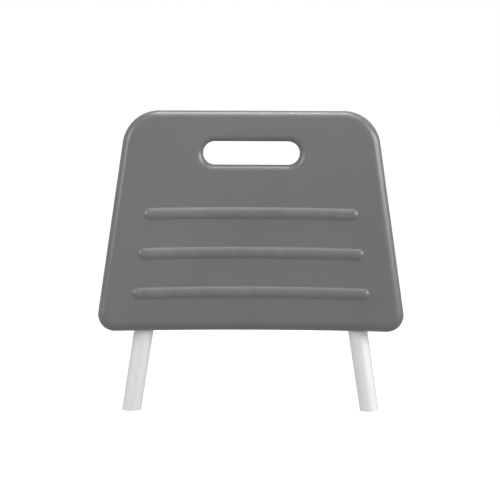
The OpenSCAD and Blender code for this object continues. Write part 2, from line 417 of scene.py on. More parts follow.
class Recipe(Graph):
    """A material with one Principled shader, and short calls for what feeds it."""

    def __init__(self, name):
        self.material = bpy.data.materials.new(name)
        self.material.use_nodes = True
        super().__init__(self.material.node_tree)
        self.shader = self.tree.nodes["Principled BSDF"]

    def set(self, **values):
        for socket, value in values.items():
            self.shader.inputs[socket.replace("_", " ")].default_value = value

    def place(self, scale, uv=False):
        """Texture coordinates in metres, or along the piece's UVs, stretched by scale."""
        where = self.node("ShaderNodeTexCoord").outputs["UV" if uv else "Object"]
        mapping = self.node("ShaderNodeMapping")
        mapping.inputs["Scale"].default_value = scale
        self.link(where, mapping.inputs["Vector"])
        return mapping.outputs["Vector"]

    def noise(self, where, detail=3.0, roughness=0.5, distortion=0.0):
        made = self.node("ShaderNodeTexNoise")
        made.inputs["Scale"].default_value = 1.0
        made.inputs["Detail"].default_value = detail
        made.inputs["Roughness"].default_value = roughness
        made.inputs["Distortion"].default_value = distortion
        self.link(where, made.inputs["Vector"])
        return made.outputs["Fac"]

    def ramp(self, value, low, high, out_low=0.0, out_high=1.0):
        made = self.node("ShaderNodeMapRange")
        made.interpolation_type = "SMOOTHSTEP"
        ends = {"From Min": low, "From Max": high, "To Min": out_low, "To Max": out_high}
        for socket, number in ends.items():
            made.inputs[socket].default_value = number
        self.link(value, made.inputs["Value"])
        return made.outputs["Result"]

    def blend(self, amount, a, b):
        """Colour a where amount is 0, and b where it is 1."""
        made = self.node("ShaderNodeMix", data_type="RGBA")
        self.link(amount, made.inputs["Factor"])
        for socket, value in ((made.inputs[6], a), (made.inputs[7], b)):
            if isinstance(value, bpy.types.NodeSocket):
                self.link(value, socket)
            else:
                socket.default_value = (*value, 1)
        return made.outputs[2]

    def bump(self, height, strength, distance, after=None):
        made = self.node("ShaderNodeBump")
        made.inputs["Strength"].default_value = strength
        made.inputs["Distance"].default_value = distance
        self.link(height, made.inputs["Height"])
        if after is not None:
            self.link(after, made.inputs["Normal"])
        return made.outputs["Normal"]

    def attribute(self, name):
        return self.node("ShaderNodeAttribute", attribute_name=name).outputs["Fac"]

    def feed(self, socket, value):
        self.link(value, self.shader.inputs[socket])


def shade(rgb, factor):
    return tuple(min(c * factor, 1) for c in rgb)


def moulded_polyethylene(panel):
    """Satin grey polyethylene: fine pebbled skin, slight flow marks, and rubbed edges."""
    skin, worn = tuple(panel.skin), tuple(panel.skin_worn)
    m = Recipe("moulded_polyethylene")
    cloud = m.noise(m.place((9, 9, 6)), detail=4)
    speckle = m.noise(m.place((900, 900, 900)), detail=2)
    base = m.blend(m.ramp(cloud, 0.3, 0.7), shade(skin, 0.965), shade(skin, 1.03))
    base = m.blend(m.ramp(speckle, 0.55, 0.8, 0, 0.35), base, shade(skin, 1.25))
    scuffs = m.noise(m.place((60, 60, 14)), detail=6, roughness=0.65, distortion=0.6)
    rubbed = m.maths("MULTIPLY", m.attribute("edge"), m.ramp(scuffs, 0.42, 0.68))
    m.feed("Base Color", m.blend(m.maths("MULTIPLY", rubbed, 0.55), base, worn))
    pebble = m.noise(m.place((900, 900, 900)), detail=3, roughness=0.6)
    swell = m.noise(m.place((26, 26, 18)), detail=2)
    haze = m.noise(m.place((40, 40, 16)), detail=3)
    m.feed("Roughness", m.ramp(haze, 0.25, 0.75, 0.28, 0.35))
    m.feed("Normal", m.bump(pebble, 0.18, 0.0002, m.bump(swell, 0.2, 0.0012)))
    m.set(IOR=1.55, Specular_IOR_Level=0.6)
    return m.material


def drawn_aluminium(posts):
    """Satin anodised tube: drawing lines along it, and a few dull smears."""
    metal = tuple(posts.metal)
    m = Recipe("drawn_aluminium")
    lines = m.noise(m.place((260, 5, 1), uv=True), detail=4, roughness=0.7)
    smears = m.noise(m.place((30, 18, 9)), detail=5, roughness=0.6)
    base = m.blend(m.ramp(lines, 0.3, 0.7), shade(metal, 0.95), shade(metal, 1.03))
    m.feed("Base Color", m.blend(m.ramp(smears, 0.5, 0.8, 0, 0.5), base, shade(metal, 0.88)))
    m.feed("Roughness", m.ramp(smears, 0.3, 0.8, 0.66, 0.78))
    m.feed("Normal", m.bump(lines, 0.10, 0.00008))
    m.set(Metallic=0.6)
    return m.material


def plain_plastic(name, rgb, roughness):
    """Small moulded fittings: fine grain and slightly uneven gloss."""
    m = Recipe(name)
    grain = m.noise(m.place((1500, 1500, 1500)), detail=2)
    cloud = m.noise(m.place((180, 180, 180)), detail=3)
    m.feed("Base Color", m.blend(m.ramp(cloud, 0.3, 0.7), shade(rgb, 0.85), shade(rgb, 1.25)))
    m.feed("Roughness", m.ramp(cloud, 0.2, 0.8, roughness - 0.06, roughness + 0.08))
    m.feed("Normal", m.bump(grain, 0.25, 0.00012))
    m.set(IOR=1.5)
    return m.material


def turned_metal(name, rgb, roughness, grain=(500, 4000, 500)):
    """Machined or rolled metal: fine lines in one direction, and faint stains."""
    m = Recipe(name)
    lines = m.noise(m.place(grain), detail=3, roughness=0.6)
    stains = m.noise(m.place((240, 240, 240)), detail=4)
    base = m.blend(m.ramp(lines, 0.3, 0.7), shade(rgb, 0.90), shade(rgb, 1.08))
    m.feed("Base Color", m.blend(m.ramp(stains, 0.55, 0.85, 0, 0.6), base, shade(rgb, 0.72)))
    m.feed("Roughness", m.ramp(stains, 0.3, 0.8, roughness, roughness + 0.14))
    m.feed("Normal", m.bump(lines, 0.15, 0.00004))
    m.set(Metallic=1.0)
    return m.material


# ---------------------------------------------------------------- the panel's surfaces

class PanelForm:
    """The panel's outline, its two curved skins and what is moulded into them, as formulas."""

    def __init__(self, s):
        self.s = s
        low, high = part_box("back_panel")
        self.bottom, self.top = low.z, high.z
        self.slope = math.atan((s.bottom_width - s.top_width) / 2 / (self.top - self.bottom))
        self.slot_z = self.bottom + s.slot_rise
        self.rib_z = [self.bottom + s.rib_first + i * s.rib_pitch for i in range(3)]
        self.posts = [post_frame(side) for side in SIDES]
        self.post_radius = middle_radius("left_post")
        self.channel_end = upper_end("left", "left_post_cap", self.post_radius) + s.channel_end_gap
        self.inserts = [f"{side}_{level}_insert" for side, level in BOLTS]

    def side_x(self, z):
        return self.s.top_width / 2 + (self.top - z) * math.tan(self.slope)

    def corner(self, radius, z):
        return (self.side_x(z) - radius / math.cos(self.slope), z)

    def rim_share(self, angle):
        """Size of the rounding at an angle round an upper corner, as a share of the sides'."""
        turned_up = smoothstep((angle - self.slope) / (math.pi / 2 - self.slope))
        return 1 + (self.s.top_rim_share - 1) * turned_up

    def rim_shares(self):
        """The share of the rounding's full size at each point of the outline."""
        x, z = self.outline(0).T
        cx, cz = self.corner(self.s.top_corner, self.top - self.s.top_corner)
        angle = np.arctan2(z - cz, np.abs(x) - cx)
        share = self.rim_share(np.clip(angle, self.slope, math.pi / 2))
        return np.where(z > cz, share, 1)

    def outline(self, inset):
        """The outline, moved in by inset, always with the same number of points."""
        s = self.s
        upper = self.corner(s.top_corner, self.top - s.top_corner)
        lower = self.corner(s.bottom_corner, self.bottom + s.bottom_corner)
        slope = math.degrees(self.slope)
        low_arc = quarter(lower, s.bottom_corner - inset, -90, slope, 20)
        turns = np.linspace(self.slope, math.pi / 2, 27)
        reach = s.top_corner - inset * self.rim_share(turns)
        high_arc = list(zip(upper[0] + reach * np.cos(turns), upper[1] + reach * np.sin(turns)))
        side = [tuple(np.array(low_arc[-1]) * (1 - t) + np.array(high_arc[0]) * t)
                for t in np.linspace(0, 1, 62)[1:-1]]
        half = low_arc + side + high_arc
        top_run = np.linspace(upper[0], -upper[0], 60)[1:-1]
        bottom_run = self.bottom_stations(lower[0])
        other = [(-x, z) for x, z in reversed(half)]
        return np.array(
            half + [(x, self.top - inset * s.top_rim_share) for x in top_run] + other
            + [(x, self.bottom + inset) for x in bottom_run]
        )

    def bottom_stations(self, reach):
        """Where the bottom edge has points: close together where the posts' channels cross it."""
        mid = abs(self.posts[1].translation.x) - self.bottom * abs(self.posts[1][0][2])
        wide = np.arange(-mid + 0.018, mid - 0.018, 0.004)
        near = np.linspace(mid - 0.018, mid + 0.018, 37)
        x = np.concatenate([-near[::-1], wide[1:], near])
        return x[(x > -reach + 0.001) & (x < reach - 0.001)]

    def depth_in(self, x, z):
        """How far inside the outline a point is, counting the top's smaller rounding as full size."""
        s = self.s
        x = np.abs(x)
        side = (self.side_x(0) - z * math.tan(self.slope) - x) * math.cos(self.slope)
        found = np.minimum(np.minimum((self.top - z) / s.top_rim_share, z - self.bottom), side)
        for radius, is_top in ((s.top_corner, True), (s.bottom_corner, False)):
            cx, cz = self.corner(radius, self.top - radius if is_top else self.bottom + radius)
            angle_in = np.arctan2(z - cz, x - cx)
            if is_top:
                in_corner = (angle_in > self.slope) & (angle_in < math.pi / 2)
            else:
                in_corner = (angle_in < self.slope) & (angle_in > -math.pi / 2)
            share = self.rim_share(angle_in) if is_top else 1
            found = np.where(in_corner, (radius - np.hypot(x - cx, z - cz)) / share, found)
        return found

    def stadium(self, width, height, z, grow, straight, bend):
        """A ring of points round a stadium, grown by grow."""
        half, r = (width - height) / 2, height / 2 + grow
        right = quarter((half, z), r, -90, 90, bend)
        left = quarter((-half, z), r, 90, 270, bend)
        run = np.linspace(half, -half, straight + 1)[1:-1]
        return np.array(right + [(x, z + r) for x in run] + left + [(-x, z - r) for x in run])

    def slot_ring(self, grow):
        return self.stadium(self.s.slot_width, self.s.slot_height, self.slot_z, grow, 32, 24)

    @staticmethod
    def stadium_distance(x, z, half, radius, centre_z):
        """Distance outside a stadium whose middle line runs half each way."""
        over = np.maximum(np.abs(x) - half, 0)
        return np.hypot(over, z - centre_z) - radius

    def slot_distance(self, x, z):
        half = (self.s.slot_width - self.s.slot_height) / 2
        return self.stadium_distance(x, z, half, self.s.slot_height / 2, self.slot_z)

    def within(self, x, z, rim, lip):
        """True inside the rim and outside the slot's lip, with slivers on either edge left out."""
        sliver = 0.00003
        return (self.depth_in(x, z) > rim + sliver) & (self.slot_distance(x, z) > lip + sliver)

    def on_front(self, x, z):
        return self.within(x, z, self.s.rim, self.s.slot_lip)

    def front(self, x):
        bend = self.s.bend
        return -self.s.front_offset - bend + np.sqrt(bend**2 - x**2)

    def rear(self, x):
        bend, t = self.s.bend, self.s.thickness
        return -self.s.front_offset - bend + np.sqrt((bend + t) ** 2 - x**2)

    def grid(self):
        """Evenly spaced points over the whole panel."""
        x = np.arange(-GRID_HALF, GRID_HALF + 0.001, GRID)
        x, z = np.meshgrid(x, np.arange(self.bottom, self.top, GRID))
        return np.stack([x.ravel(), z.ravel()], 1)

    # Ribs

    def rib_half(self, z):
        """Half the length of the line that a rib's rounded ends are centred on."""
        s = self.s
        half_width = math.sqrt(s.rib_radius**2 - (s.rib_radius - s.rib_height) ** 2)
        return self.side_x(z) - s.rib_gap - half_width

    def rib_line(self, x, z):
        """Height of a rib's middle line, which arches slightly."""
        return z - self.s.rib_arch * (x / self.rib_half(z)) ** 2

    def rib_distance(self, x, z, rib):
        over = np.maximum(np.abs(x) - self.rib_half(rib), 0)
        return np.hypot(over, z - self.rib_line(x, rib))

    def rib_reach(self):
        """How far from its middle line a rib has run out into the face."""
        s = self.s
        return math.sqrt(s.rib_radius**2 - (s.rib_radius - s.rib_height - s.rib_fillet) ** 2)

    def relief(self, x, z):
        """How far the ribs stand out of the front face at a point."""
        s = self.s
        d = np.min([self.rib_distance(x, z, rib) for rib in self.rib_z], 0)
        section = np.sqrt(np.maximum(s.rib_radius**2 - d**2, 0)) - s.rib_radius + s.rib_height
        return -smooth_min(-section, np.zeros_like(d), s.rib_fillet)

    # Rear face

    def channel(self, x, z):
        """Depth along Y of the posts' channels, and far behind the panel where there is none."""
        radius = self.post_radius + self.s.channel_gap
        turn_in = math.radians(70)
        edge_q, edge_y = radius * math.sin(turn_in), -radius * math.cos(turn_in)
        found = np.full_like(x, 0.05)
        for m in self.posts:
            across, up = on_post(m, x, z)
            inner = -np.sqrt(np.maximum(radius**2 - across**2, 0))
            wall = edge_y + (across - edge_q) * math.tan(turn_in)
            floor = np.where(across < edge_q, inner, wall)
            floor = floor + np.maximum(up - self.channel_end, 0) * 4
            found = np.minimum(found, floor)
        return found

    def tie(self, x, z):
        """Depth of the tie recesses at a point."""
        s = self.s
        depth = np.zeros_like(x)
        for rib in self.rib_z:
            inside = -self.tie_distance(x, z, rib)
            depth = np.maximum(depth, s.tie_depth * smoothstep(inside / s.tie_draft))
        return depth

    def tie_distance(self, x, z, rib):
        """Distance outside the tie recess behind a rib."""
        s = self.s
        return self.stadium_distance(x, z, (s.tie_width - s.tie_height) / 2, s.tie_height / 2, rib)

    def cut_rear(self, y, x, z):
        """Cuts the posts' channels into anything that reaches behind them."""
        return smooth_min(y, self.channel(x, z), self.s.channel_lip)

    def on_rear_face(self, xz):
        """Puts flat points on the rear face."""
        x, z = xz.T
        return np.stack([x, self.cut_rear(self.rear(x) - self.tie(x, z), x, z), z], 1)

    def insert_distance(self, x, z):
        """Distance outside the nearest insert's pocket."""
        centres = [middle(node) for node in self.inserts]
        radius = middle_radius(self.inserts[0], axis=0)
        return np.min([np.hypot(x - c.x, z - c.z) for c in centres], 0) - radius

    def on_rear(self, x, z):
        outside_inserts = self.insert_distance(x, z) > 0
        return self.within(x, z, self.s.rear_rim, self.s.rear_slot_lip) & outside_inserts


def insert_loop(node):
    """The mouth of the pocket that a threaded insert sits in."""
    centre, radius = middle(node), middle_radius(node, axis=0)
    return np.array(quarter((centre.x, centre.z), radius, 0, 360, 40)[:-1])


def front_skin(form):
    """Points and triangles of the front face, inside the rim and outside the slot's lip."""
    s = form.s
    rim, lip = form.outline(s.rim), form.slot_ring(s.slot_lip)
    points = []
    reach = form.rib_reach()
    for rib in form.rib_z:
        half = form.rib_half(rib)
        for d in np.linspace(0.0006, reach + 0.0008, 17):
            steps = max(int(math.pi * d / 0.0011), 5)
            right = quarter((half, 0), d, -90, 90, steps)
            left = quarter((-half, 0), d, 90, 270, steps)
            run = np.linspace(half, -half, 76)[1:-1]
            ring = np.array(right + [(x, d) for x in run] + left + [(-x, -d) for x in run])
            ring[:, 1] += form.rib_line(np.clip(ring[:, 0], -half, half), rib)
            points.append(ring)
    grid, gap = form.grid(), 0.003
    keep = np.min([form.rib_distance(*grid.T, rib) for rib in form.rib_z], 0) > reach + gap
    keep &= form.depth_in(*grid.T) > s.rim + gap
    keep &= form.slot_distance(*grid.T) > s.slot_lip + gap
    points = np.concatenate(points + [grid[keep]])
    xz, faces = triangulated(points, [rim, lip], form.on_front)
    y = form.front(xz[:, 0]) - form.relief(xz[:, 0], xz[:, 1])
    return np.stack([xz[:, 0], y, xz[:, 1]], 1), faces


# How far from a post's axis the rear face has points, in mm: close together at its channel's lip.
CHANNEL_POINTS = (0, 4, 8, 10, 11, 11.6, 12.1, 12.4, 12.7, 13.0, 13.4, 13.9, 14.6, 16)


def rear_skin(form):
    """The rear face, with its channels, tie recesses and the pockets for the inserts."""
    s = form.s
    rim, lip = form.outline(s.rear_rim), form.slot_ring(s.rear_slot_lip)
    points = []
    below_panel = 0.100
    apart = 1e-5  # keeps the channels' end points off those along them
    for m in form.posts:
        for across in CHANNEL_POINTS:
            for sign in (-1, 1) if across else (1,):
                for up in np.arange(below_panel, form.channel_end + 0.012, 0.0025):
                    p = m @ Vector((sign * across * MM, 0, up))
                    points.append((p.x, p.z))
        for up in np.linspace(form.channel_end - 0.002, form.channel_end + 0.006, 17):
            for across in np.linspace(-0.016, 0.016, 33):
                p = m @ Vector((across + apart, 0, up + apart))
                points.append((p.x, p.z))
    points = np.array(points)
    rings = [
        form.stadium(s.tie_width, s.tie_height, rib, -d, 40, 16)
        for rib in form.rib_z for d in np.linspace(-0.0012, s.tie_draft + 0.0002, 14)
    ]
    grid = form.grid()
    clear = np.min([form.tie_distance(*grid.T, rib) for rib in form.rib_z], 0) > 0.004
    for m in form.posts:
        across, up = on_post(m, *grid.T)
        clear &= (across > 0.018) | (up > form.channel_end + 0.014)
    points = np.concatenate([points, *rings, grid[clear]])
    keep = form.within(*points.T, s.rear_rim + 0.0008, s.rear_slot_lip + 0.002)
    keep &= form.insert_distance(*points.T) > 0.0006
    pockets = [insert_loop(node) for node in form.inserts]
    xz, faces = triangulated(points[keep], [rim, lip, *pockets], form.on_rear)
    shape = Shape()
    shape.add(form.on_rear_face(xz), faces[:, ::-1])
    for node, pocket in zip(form.inserts, pockets):
        floor = np.insert(pocket, 1, depths(node)[0] - s.pocket_play, axis=1)
        shape.rings([form.on_rear_face(pocket), floor])
        shape.add(floor, [list(range(len(floor)))])
    return shape


def edge_profile(front_radius, rear_radius, thickness, flash):
    """The section round an edge, with its parting line.

    Each entry is the distance in from the edge, the depth from the front face, and the depth
    that this depth shrinks towards where the rounding is smaller.
    """
    front, rear = (
        [(r - r * math.sin(a), r - r * math.cos(a)) for a in np.linspace(0, math.pi / 2, steps)]
        for r, steps in ((front_radius, 15), (rear_radius, 10))
    )
    front = [(inset, depth, 0) for inset, depth in front]
    rear = [(inset, thickness - depth, thickness) for inset, depth in reversed(rear)]
    seam = (front_radius + thickness - rear_radius) / 2
    line = []
    for inset, off in ((0, -1.6), (-flash, -0.5), (-flash, 0.5), (0, 1.6)):
        depth = seam + off * flash
        line.append((inset, depth, depth))
    return front + line + rear


def rim_rings(form, loop_at, shares, front_radius, rear_radius, flash):
    """Rings that carry the front face round an edge to the rear face.

    loop_at(inset) gives a ring's loop, and shares the size of the rounding at each of its points.
    """
    t = form.s.thickness
    rings = []
    for inset, depth, anchor in edge_profile(front_radius, rear_radius, t, flash):
        x, z = loop_at(inset).T
        share = (anchor + (depth - anchor) * shares) / t
        y = form.front(x) * (1 - share) + form.rear(x) * share
        rings.append(np.stack([x, form.cut_rear(y, x, z), z], 1))
    return rings


def back_panel(form, material):
    """The hollow-moulded panel's outer surface, as one closed shell."""
    s = form.s
    shape = Shape()
    shape.add(*front_skin(form))
    rear = rear_skin(form)
    shape.add(rear.points, rear.faces)
    shape.rings(rim_rings(form, form.outline, form.rim_shares(), s.rim, s.rear_rim, s.flash))
    shape.rings(rim_rings(form, form.slot_ring, 1, s.slot_lip, s.rear_slot_lip, s.flash / 2))
    piece = new_piece("moulded_back_panel", shape.points, shape.faces, material, smooth_angle=60)
    mark_edges(piece.data, form)
    return piece


def mark_edges(mesh, form):
    """Stores how exposed to rubbing each point is: the rim, the slot's lip and the ribs' crowns."""
    co = np.array([v.co for v in mesh.vertices])
    x, y, z = co.T
    rim_reach, lip_reach, crown_share = 0.008, 0.007, 0.6
    rim = 1 - smoothstep(form.depth_in(x, z) / rim_reach)
    lip = 1 - smoothstep(form.slot_distance(x, z) / lip_reach)
    on_rib = y < form.front(x) - MM
    crown = crown_share * np.where(on_rib, form.relief(x, z) / form.s.rib_height, 0)
    worn = np.clip(np.maximum(np.maximum(rim, lip), crown), 0, 1)
    edge = mesh.attributes.new("edge", "FLOAT", "POINT")
    edge.data.foreach_set("value", worn.astype(np.float32))


# ---------------------------------------------------------------- posts

def tube_wall(side, radius_at, holes, top):
    """One wall of a tube, unrolled, with round holes cut through it, and rolled up again.

    radius_at(up) is the wall's radius, and holes are (height, angle, radius). The lower edge is
    cut level in the row frame. Returns points, faces and the loops of its edges and holes.
    """
    m = post_frame(side)
    start = -math.pi / 2
    around = np.linspace(start, start + 2 * math.pi, 97)
    mean = radius_at(top)

    def foot(theta):
        return -m[2][0] * radius_at(0) * np.sin(theta) / m[2][2]

    def hole_loop(height, theta, radius):
        t = turn(48)
        return np.stack([theta + np.arcsin(radius * np.cos(t) / mean), height + radius * np.sin(t)], 1)

    def roll(theta, up):
        r = radius_at(up)
        return np.stack([r * np.sin(theta), r * np.cos(theta), up], 1)

    flat = np.array([mean, 1.0])
    along = np.concatenate([[0.003, 0.006], np.arange(0.012, top - 0.004, 0.008)])
    at_shoulder = np.arange(0.0230, 0.0290, 0.00075)
    heights = np.union1d(along, at_shoulder)
    body = np.array([(t, h) for t in around[1:-1] for h in heights])
    for height, theta, radius in holes:
        near = np.hypot((body[:, 0] - theta) * mean, body[:, 1] - height)
        body = body[near > radius + 0.0008]
    low = [(t, foot(t)) for t in around]
    high = [(t, top) for t in around]
    border = low + [(around[-1], h) for h in heights]
    border += high[::-1] + [(around[0], h) for h in heights[::-1]]
    loops = [np.array(border)] + [hole_loop(*h) for h in holes]

    def inside(a, up):
        ok = np.ones(len(a), bool)
        for height, theta, radius in holes:
            turned_away = np.cos(a / mean - theta) < 0
            ok &= turned_away | (np.hypot(mean * np.sin(a / mean - theta), up - height) > radius)
        return ok & (up > foot(a / mean) + 1e-5)

    xy, faces = triangulated(body * flat, [loop * flat for loop in loops], inside)
    rolled = [roll(loop[:, 0], loop[:, 1]) for loop in loops[1:]]
    ends = [roll(around[:-1], np.array([h for _, h in edge[:-1]])) for edge in (low, high)]
    return roll(xy[:, 0] / mean, xy[:, 1]), faces, ends, rolled


def post_tube(side, posts, material):
    """A post: an open tube with a thinner lower end, cut level, and its holes."""
    rear, front = 0.0, math.pi
    button = along_post(side, f"{side}_lock_button")
    holes = [(button, rear, posts.button_hole)]
    for level in LEVELS:
        up = along_post(side, f"{side}_{level}_bolt")
        holes += [(up, rear, posts.bolt_hole), (up, front, posts.bolt_hole)]
    top = upper_end(side, f"{side}_post", posts.radius)
    sized = mount(f"{side}_post_end")["dims"]["r_mm"] * MM
    bore = posts.radius - posts.wall

    def outer(up):
        return sized + (posts.radius - sized) * smoothstep((up - posts.sized_length) / 0.0015)

    def inner(up):
        return np.full_like(np.asarray(up, float), bore)

    shape = Shape()
    points, faces, outer_ends, outer_holes = tube_wall(side, outer, holes, top)
    shape.add(points, faces)
    points, faces, inner_ends, inner_holes = tube_wall(side, inner, holes, top)
    shape.add(points, faces[:, ::-1])
    for out_ring, in_ring in zip(outer_ends, inner_ends):
        shape.rings([out_ring, in_ring])
    for out_ring, in_ring in zip(outer_holes, inner_holes):
        shape.rings([out_ring, in_ring])
    piece = placed_piece(f"{side}_post_tube", shape, post_frame(side), material)
    unroll(piece, side, posts.radius)
    return piece


def unroll(piece, side, radius):
    """UVs in tenths of a metre round and along a post, so that its drawing lines run along it."""
    mesh = piece.data
    co = moved([v.co for v in mesh.vertices], post_frame(side).inverted())
    around = np.arctan2(co[:, 0], co[:, 1]) * radius
    girth = 2 * math.pi * radius
    uv = mesh.uv_layers.new(name="unrolled")
    for face in mesh.polygons:
        base = around[face.vertices[0]]
        for loop in face.loop_indices:
            v = mesh.loops[loop].vertex_index
            laps = round((base - around[v]) / girth)
            uv.data[loop].uv = ((around[v] + laps * girth) * UV_SCALE, co[v, 2] * UV_SCALE)


# ---------------------------------------------------------------- fittings

def ringed_piece(name, rings, matrix, material, **ends):
    """Makes a piece from rings in a frame of its own; capped or looped says how they end."""
    shape = Shape()
    shape.rings(rings, **ends)
    return placed_piece(name, shape, matrix, material)


def post_cap(side, f, radius, bore, material):
    """A plug for a post's upper end: a crowned head over a hollow, finned stem."""
    rim = upper_end(side, f"{side}_post", radius)
    crown = upper_end(side, f"{side}_post_cap", radius)
    stem = bore - 0.1 * MM
    foot = rim - f.cap_stem
    shoulder = crown - f.cap_dome - f.cap_edge
    profile = [(0.2 * MM, rim - MM), (0.7 * stem, rim - MM)]
    profile += quarter((0.7 * stem, rim - 2 * MM), MM, 90, 0, 4)
    profile += [(0.78 * stem, foot + 0.3 * MM), (0.8 * stem, foot), (0.88 * stem, foot)]
    root = 0.93 * stem
    for up in np.linspace(foot + 0.6 * MM, rim - 1.4 * MM, f.cap_fins):
        profile += [(root, up - 0.5 * MM), (stem, up)]
        profile += [(stem, up + 0.35 * MM), (root, up + 0.6 * MM)]
    profile += [(root, rim), (radius - 0.2 * MM, rim), (radius, rim + 0.2 * MM)]
    profile += quarter((radius - f.cap_edge, shoulder), f.cap_edge, 0, 75, 6)
    for share in np.linspace(0.92, 0.02, 14):
        profile.append((share * (radius - f.cap_edge), crown - f.cap_dome * share**2))
    upright = post_frame(side) @ Matrix.Rotation(math.pi / 2, 4, "X")
    return placed_piece(f"{side}_tube_cap", turned(profile), upright, material)


def saddle_washer(side, level, f, post_radius, material):
    """A round washer whose underside is hollowed to sit on the tube."""
    node = f"{side}_{level}_saddle"
    outer, top = middle_radius(node, axis=0), depths(node)[1]
    hole, seat = f.bolt_radius + 0.3 * MM, post_radius + 0.05 * MM

    def underside(radius):
        return turned_ring(radius, np.sqrt(seat**2 - (radius * np.cos(turn())) ** 2))

    def raised(radius, share):
        """A ring part of the way up the outer wall."""
        low = underside(radius)
        low[:, 1] += share * (top - f.saddle_edge - low[:, 1])
        return low

    rings = [underside(r) for r in np.linspace(hole + 0.2 * MM, outer - 0.2 * MM, 12)]
    rings += [raised(outer, share) for share in (0.06, 0.35, 0.7, 1)]
    edge = quarter((outer - f.saddle_edge, top - f.saddle_edge), f.saddle_edge, 12, 90, 6)
    rings += [turned_ring(r, h) for r, h in edge]
    groove = outer - 2.2 * MM
    for across, down in ((0.3, 0), (0.15, 0.2), (-0.15, 0.2), (-0.3, 0)):
        rings.append(turned_ring(groove + across * MM, top - down * MM))
    rings += [turned_ring(hole + 0.4 * MM, top), turned_ring(hole, top - 0.4 * MM)]
    rings.append(turned_ring(hole, seat))
    return ringed_piece(f"{node}_washer", rings, on_bolt(side, level), material, looped=True)


def thread(radius, start, end, pitch, depth):
    """Rings of a helical thread between two heights, running out at both ends."""
    rings = []
    for height in np.arange(start, end, pitch / 8):
        phase = (height / pitch - turn() / (2 * math.pi)) % 1
        ridge = np.clip(np.abs(phase - 0.5) * 2.6 - 0.15, 0, 1)
        fade = smoothstep((height - start) / pitch) * smoothstep((end - height) / pitch)
        rings.append(turned_ring(radius - depth * fade * ridge, height))
    return rings


def socket_ring(across, height):
    """A ring in the shape of a hexagonal key."""
    corner = (turn() + math.pi / 6) % (math.pi / 3) - math.pi / 6
    return turned_ring(across / 2 / np.cos(corner), height)


def bolt(side, level, f, material):
    """A button-head bolt with a hexagonal socket and a rolled thread."""
    node = f"{side}_{level}_bolt"
    tip, crown = depths(node)
    under = crown - f.head_height
    land = 0.5 * f.head_radius
    thread_end = tip + f.thread_length
    rings = [turned_ring(f.bolt_radius - 0.7 * MM, tip)]
    rings.append(turned_ring(f.bolt_radius - 0.1 * MM, tip + 0.6 * MM))
    rings += thread(f.bolt_radius, tip + 0.8 * MM, thread_end, f.thread_pitch, f.thread_depth)
    rings += [turned_ring(f.bolt_radius, h) for h in (thread_end + 0.1 * MM, under)]
    rings.append(turned_ring(f.head_radius - 0.15 * MM, under))
    rings.append(turned_ring(f.head_radius, under + 0.15 * MM))
    wall_end = under + 0.5 * MM
    for turn_in in np.linspace(0, math.pi / 2, 10):
        radius = land + (f.head_radius - land) * math.cos(turn_in)
        rings.append(turned_ring(radius, wall_end + (crown - wall_end) * math.sin(turn_in)))
    rings.append(socket_ring(f.key_width + 0.25 * MM, crown))
    rings.append(socket_ring(f.key_width, crown - 0.15 * MM))
    rings.append(socket_ring(f.key_width, crown - f.key_depth))
    rings.append(turned_ring(0.1 * MM, crown - f.key_depth - 0.5 * MM))
    name = f"{side}_{level}_button_head_bolt"
    return ringed_piece(name, rings, on_bolt(side, level), material, capped=True)


def threaded_insert(side, level, f, material):
    """A brass bush with two knurled bands, moulded into the panel."""
    node = f"{side}_{level}_insert"
    start, end = depths(node)
    outer, inner = middle_radius(node, axis=0), f.bolt_radius + 0.05 * MM
    knurls, groove = 18, 0.35 * MM
    rings = [turned_ring(inner + 0.3 * MM, start), turned_ring(outer - 0.4 * MM, start)]
    for height in np.linspace(start + 0.3 * MM, end - 0.3 * MM, 40):
        share = (height - start) / (end - start)
        band = smoothstep(abs(share - 0.5) * 12 - 0.8) * smoothstep((0.5 - abs(share - 0.5)) * 16)
        slant = 900 * (height - start)
        ridge = np.abs(np.sin(knurls / 2 * turn() + slant)) * np.abs(np.sin(knurls / 2 * turn() - slant))
        rings.append(turned_ring(outer - groove * (1 - band * ridge) * 0.9, height))
    rings += [turned_ring(outer - 0.4 * MM, end), turned_ring(inner + 0.3 * MM, end)]
    rings += [turned_ring(inner, end - 0.3 * MM), turned_ring(inner, start + 0.3 * MM)]
    name = f"{side}_{level}_brass_insert"
    return ringed_piece(name, rings, on_bolt(side, level), material, looped=True)


def lock_button(side, f, material):
    """A domed button with the flange that keeps it in the tube and the rivet that holds its spring."""
    node = f"{side}_lock_button"
    inner, crown = depths(node)
    dome = f.button_radius / 2
    sphere = (f.button_radius**2 + dome**2) / (2 * dome)
    reach = math.degrees(math.asin(f.button_radius / sphere))
    flange = inner + 2.4 * MM
    top = flange + 0.8 * MM
    rivet = ((0.1, 0), (2.1, 0), (2.4, 0.3), (2.4, 0.7), (2.3, 0.8), (1.4, 0.8))
    profile = [(r * MM, inner + h * MM) for r, h in rivet] + [(1.4 * MM, flange)]
    profile += [(f.flange_radius - 0.2 * MM, flange), (f.flange_radius, flange + 0.2 * MM)]
    profile += [(f.flange_radius, top - 0.2 * MM), (f.flange_radius - 0.2 * MM, top)]
    profile += [(f.button_radius + (0.5 - 0.5 * math.sin(a)) * MM, top + (0.5 - 0.5 * math.cos(a)) * MM)
                for a in np.linspace(0, math.pi / 2, 5)]
    profile += [(f.button_radius, h) for h in np.linspace(top + MM, crown - dome - 0.4 * MM, 4)]
    profile += quarter((0, crown - sphere), sphere, 90 - reach + 4, 89.2, 16)
    place = at_height(side, along_post(side, node))
    name, body = f"{side}_snap_button", f"{side}_button"
    return placed_piece(name, turned(profile), place, material, body=body)


